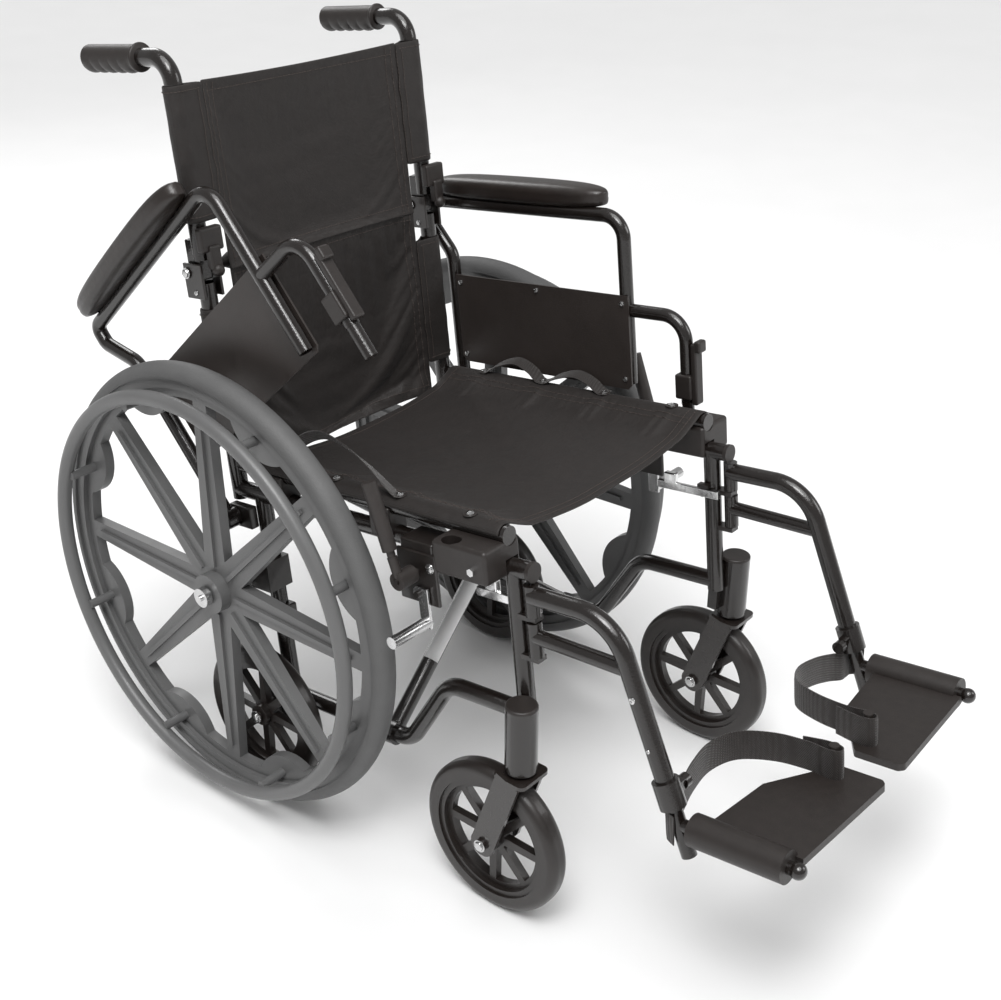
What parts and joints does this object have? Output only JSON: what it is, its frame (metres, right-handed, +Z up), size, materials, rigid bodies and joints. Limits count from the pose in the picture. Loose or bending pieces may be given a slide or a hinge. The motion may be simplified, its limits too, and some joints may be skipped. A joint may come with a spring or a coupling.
{
  "type": "manual wheelchair",
  "caption": "Folding manual wheelchair with spoked push wheels, transport wheels, casters, sling seat, half-folding back, flip-back desk arms and swing-away footrests.",
  "frame": {"origin": "on the floor, below the middle of the whole chair", "axes": "+X to the occupant's left, +Y to the rear, +Z up"},
  "size_m": [0.657, 1.126, 0.9589],
  "materials": {
    "frame_paint": "glossy brown-black powder coat",
    "bracket_steel": "semi-gloss black",
    "zinc_steel": "zinc plated",
    "chrome": "chromed",
    "lever_rubber": "matte",
    "black_plastic": "moulded",
    "guard_plastic": "fine grain",
    "grip_rubber": "matte",
    "pad_vinyl": "moulded skin",
    "wheel_plastic": "moulded grey",
    "wheel_tyre": "grey tyre",
    "rim_plastic": "smooth grey",
    "caster_rubber": "black",
    "fork_steel": "semi-gloss black",
    "webbing": "woven",
    "nylon": "woven nylon"
  },
  "bodies": {
    "right_side": {"right_side_frame": "frame_paint", "right_frame_fittings": "bracket_steel", "right_frame_plastics": "black_plastic", "right_frame_bolts": "zinc_steel", "right_lock_bracket": "bracket_steel", "back_lower_panel": "nylon"},
    "cross_brace_a": {"cross_brace_a": "frame_paint", "seat_sling": "nylon"},
    "cross_brace_b": {"cross_brace_b": "frame_paint"},
    "left_side": {"left_side_frame": "frame_paint", "left_frame_fittings": "bracket_steel", "left_frame_plastics": "black_plastic", "left_frame_bolts": "zinc_steel", "left_lock_bracket": "bracket_steel"},
    "right_upper_back": {"right_upper_cane": "frame_paint", "right_push_grip": "grip_rubber", "back_upper_panel": "nylon"},
    "right_back_latch": {"right_back_latch": "black_plastic"},
    "right_arm": {"right_arm_frame": "frame_paint", "right_arm_pad": "pad_vinyl", "right_skirt_guard": "guard_plastic"},
    "right_arm_latch": {"right_arm_latch": "black_plastic"},
    "right_axle": {"right_quick_release_axle": "zinc_steel"},
    "right_axle_button": {"right_axle_button": "zinc_steel"},
    "right_wheel": {"right_mag_wheel": "wheel_plastic", "right_tyre": "wheel_tyre", "right_handrim": "rim_plastic"},
    "right_transport_wheel": {"right_transport_wheel": "caster_rubber"},
    "right_caster_fork": {"right_caster_fork": "fork_steel"},
    "right_caster_wheel": {"right_caster_wheel": "caster_rubber"},
    "right_lock_lever": {"right_lock_lever": "lever_rubber"},
    "right_lock_shoe": {"right_lock_shoe": "zinc_steel"},
    "right_hanger": {"right_hanger": "frame_paint"},
    "right_hanger_lever": {"right_hanger_lever": "chrome"},
    "right_extension": {"right_footrest_extension": "frame_paint"},
    "right_footplate": {"right_footplate": "black_plastic", "right_heel_strap": "webbing"},
    "left_upper_back": {"left_upper_cane": "frame_paint", "left_push_grip": "grip_rubber"},
    "left_back_latch": {"left_back_latch": "black_plastic"},
    "left_arm": {"left_arm_frame": "frame_paint", "left_arm_pad": "pad_vinyl", "left_skirt_guard": "guard_plastic"},
    "left_arm_latch": {"left_arm_latch": "black_plastic"},
    "left_axle": {"left_quick_release_axle": "zinc_steel"},
    "left_axle_button": {"left_axle_button": "zinc_steel"},
    "left_wheel": {"left_mag_wheel": "wheel_plastic", "left_tyre": "wheel_tyre", "left_handrim": "rim_plastic"},
    "left_transport_wheel": {"left_transport_wheel": "caster_rubber"},
    "left_caster_fork": {"left_caster_fork": "fork_steel"},
    "left_caster_wheel": {"left_caster_wheel": "caster_rubber"},
    "left_lock_lever": {"left_lock_lever": "lever_rubber"},
    "left_lock_shoe": {"left_lock_shoe": "zinc_steel"},
    "left_hanger": {"left_hanger": "frame_paint"},
    "left_hanger_lever": {"left_hanger_lever": "chrome"},
    "left_extension": {"left_footrest_extension": "frame_paint"},
    "left_footplate": {"left_footplate": "black_plastic", "left_heel_strap": "webbing"}
  },
  "joints": [
    {"name": "fold", "type": "hinge", "parent": "right_side", "child": "cross_brace_a", "pos_m": [-0.2, 0.04138, 0.14349], "axis": [0, -0.9936, 0.1132], "range_deg": [0, 41], "deforming": ["seat_sling", "back_lower_panel", "back_upper_panel", "left_heel_strap", "right_heel_strap"]},
    {"name": "brace_cross", "type": "hinge", "parent": "cross_brace_a", "child": "cross_brace_b", "pos_m": [0, 0.06012, 0.30793], "axis": [0, -0.9936, 0.1132], "range_deg": [-82, 0]},
    {"name": "left_rail_turn", "type": "hinge", "parent": "cross_brace_b", "child": "left_side", "pos_m": [0.2, 0.04138, 0.14349], "axis": [0, -0.9936, 0.1132], "range_deg": [0, 41]},
    {"name": "right_back_fold", "type": "hinge", "parent": "right_side", "child": "right_upper_back", "pos_m": [-0.2, 0.34087, 0.69614], "axis": [-1, 0, 0], "range_deg": [0, 135]},
    {"name": "right_back_release", "type": "hinge", "parent": "right_upper_back", "child": "right_back_latch", "pos_m": [-0.2, 0.3132, 0.75364], "axis": [-1, 0, 0], "range_deg": [0, 18], "stiffness_Nm_per_rad": 0.4, "springref_deg": -17.19},
    {"name": "right_arm_flip", "type": "hinge", "parent": "right_side", "child": "right_arm", "pos_m": [-0.234, 0.27903, 0.38313], "axis": [-1, 0, 0], "range_deg": [-36, 54]},
    {"name": "right_arm_release", "type": "slide", "parent": "right_arm", "child": "right_arm_latch", "axis": [0, 0.6756, 0.7373], "range_m": [0, 0.01], "stiffness_N_per_m": 500, "springref_m": -0.006},
    {"name": "right_axle_pull", "type": "slide", "parent": "right_side", "child": "right_axle", "axis": [-1, 0, 0], "range_m": [0, 0.08]},
    {"name": "right_axle_button_press", "type": "slide", "parent": "right_axle", "child": "right_axle_button", "axis": [1, 0, 0], "range_m": [0, 0.004], "stiffness_N_per_m": 1200, "springref_m": -0.004},
    {"name": "right_wheel_spin", "type": "hinge", "parent": "right_axle", "child": "right_wheel", "pos_m": [-0.274, 0.25806, 0.305], "axis": [1, 0, 0], "continuous": true},
    {"name": "right_transport_wheel_spin", "type": "hinge", "parent": "right_side", "child": "right_transport_wheel", "pos_m": [-0.236, 0.23488, 0.10162], "axis": [1, 0, 0], "continuous": true},
    {"name": "right_caster_swivel", "type": "hinge", "parent": "right_side", "child": "right_caster_fork", "pos_m": [-0.227, -0.20554, 0.262], "axis": [0, 0, 1], "continuous": true},
    {"name": "right_caster_spin", "type": "hinge", "parent": "right_caster_fork", "child": "right_caster_wheel", "pos_m": [-0.227, -0.16694, 0.1016], "axis": [1, 0, 0], "continuous": true},
    {"name": "right_lock_push", "type": "hinge", "parent": "right_side", "child": "right_lock_lever", "pos_m": [-0.257, -0.04839, 0.42446], "axis": [1, 0, 0], "range_deg": [0, 50]},
    {"name": "right_lock_shoe_turn", "type": "hinge", "parent": "right_side", "child": "right_lock_shoe", "pos_m": [-0.2315, -0.05531, 0.39908], "axis": [1, 0, 0], "range_deg": [0, 26]},
    {"name": "right_hanger_swing", "type": "hinge", "parent": "right_side", "child": "right_hanger", "pos_m": [-0.204, -0.20326, 0.40788], "axis": [0, -0.1132, -0.9936], "range_deg": [0, 90]},
    {"name": "right_hanger_release", "type": "hinge", "parent": "right_side", "child": "right_hanger_lever", "pos_m": [-0.184, -0.17201, 0.40835], "axis": [0, -0.1132, -0.9936], "range_deg": [0, 8], "stiffness_Nm_per_rad": 0.4, "springref_deg": -17.19},
    {"name": "right_footrest_height", "type": "slide", "parent": "right_hanger", "child": "right_extension", "axis": [0, -0.4095, -0.9123], "range_m": [0, 0.09]},
    {"name": "right_footplate_flip", "type": "hinge", "parent": "right_extension", "child": "right_footplate", "pos_m": [-0.204, -0.48401, 0.24059], "axis": [0, -0.9936, 0.1132], "range_deg": [0, 102.5]},
    {"name": "left_back_fold", "type": "hinge", "parent": "left_side", "child": "left_upper_back", "pos_m": [0.2, 0.34087, 0.69614], "axis": [-1, 0, 0], "range_deg": [0, 135]},
    {"name": "left_back_release", "type": "hinge", "parent": "left_upper_back", "child": "left_back_latch", "pos_m": [0.2, 0.3132, 0.75364], "axis": [-1, 0, 0], "range_deg": [0, 18], "stiffness_Nm_per_rad": 0.4, "springref_deg": -17.19},
    {"name": "left_arm_flip", "type": "hinge", "parent": "left_side", "child": "left_arm", "pos_m": [0.234, 0.27903, 0.38313], "axis": [-1, 0, 0], "range_deg": [0, 90]},
    {"name": "left_arm_release", "type": "slide", "parent": "left_arm", "child": "left_arm_latch", "axis": [0, 0.1132, 0.9936], "range_m": [0, 0.01], "stiffness_N_per_m": 500, "springref_m": -0.006},
    {"name": "left_axle_pull", "type": "slide", "parent": "left_side", "child": "left_axle", "axis": [1, 0, 0], "range_m": [0, 0.08]},
    {"name": "left_axle_button_press", "type": "slide", "parent": "left_axle", "child": "left_axle_button", "axis": [-1, 0, 0], "range_m": [0, 0.004], "stiffness_N_per_m": 1200, "springref_m": -0.004},
    {"name": "left_wheel_spin", "type": "hinge", "parent": "left_axle", "child": "left_wheel", "pos_m": [0.274, 0.25806, 0.305], "axis": [1, 0, 0], "continuous": true},
    {"name": "left_transport_wheel_spin", "type": "hinge", "parent": "left_side", "child": "left_transport_wheel", "pos_m": [0.236, 0.23488, 0.10162], "axis": [1, 0, 0], "continuous": true},
    {"name": "left_caster_swivel", "type": "hinge", "parent": "left_side", "child": "left_caster_fork", "pos_m": [0.227, -0.20554, 0.262], "axis": [0, 0, 1], "continuous": true},
    {"name": "left_caster_spin", "type": "hinge", "parent": "left_caster_fork", "child": "left_caster_wheel", "pos_m": [0.227, -0.16694, 0.1016], "axis": [1, 0, 0], "continuous": true},
    {"name": "left_lock_push", "type": "hinge", "parent": "left_side", "child": "left_lock_lever", "pos_m": [0.257, -0.04839, 0.42446], "axis": [1, 0, 0], "range_deg": [0, 50]},
    {"name": "left_lock_shoe_turn", "type": "hinge", "parent": "left_side", "child": "left_lock_shoe", "pos_m": [0.2315, -0.05531, 0.39908], "axis": [1, 0, 0], "range_deg": [0, 26]},
    {"name": "left_hanger_swing", "type": "hinge", "parent": "left_side", "child": "left_hanger", "pos_m": [0.204, -0.20326, 0.40788], "axis": [0, 0.1132, 0.9936], "range_deg": [0, 90]},
    {"name": "left_hanger_release", "type": "hinge", "parent": "left_side", "child": "left_hanger_lever", "pos_m": [0.184, -0.17201, 0.40835], "axis": [0, 0.1132, 0.9936], "range_deg": [0, 8], "stiffness_Nm_per_rad": 0.4, "springref_deg": -17.19},
    {"name": "left_footrest_height", "type": "slide", "parent": "left_hanger", "child": "left_extension", "axis": [0, -0.4095, -0.9123], "range_m": [0, 0.09]},
    {"name": "left_footplate_flip", "type": "hinge", "parent": "left_extension", "child": "left_footplate", "pos_m": [0.204, -0.48401, 0.24059], "axis": [0, 0.9936, -0.1132], "range_deg": [0, 102.5]}
  ],
  "couplings": [
    {"joint": "brace_cross", "follows": "fold", "ratio": -2},
    {"joint": "left_rail_turn", "follows": "fold", "ratio": 1},
    {"joint": "right_lock_shoe_turn", "follows": "right_lock_push", "ratio": 0.52},
    {"joint": "right_footplate_flip", "follows": "fold", "ratio": 2.5},
    {"joint": "left_lock_shoe_turn", "follows": "left_lock_push", "ratio": 0.52},
    {"joint": "left_footplate_flip", "follows": "fold", "ratio": 2.5},
    {"joint": "left_back_fold", "follows": "right_back_fold", "ratio": 1}
  ]
}
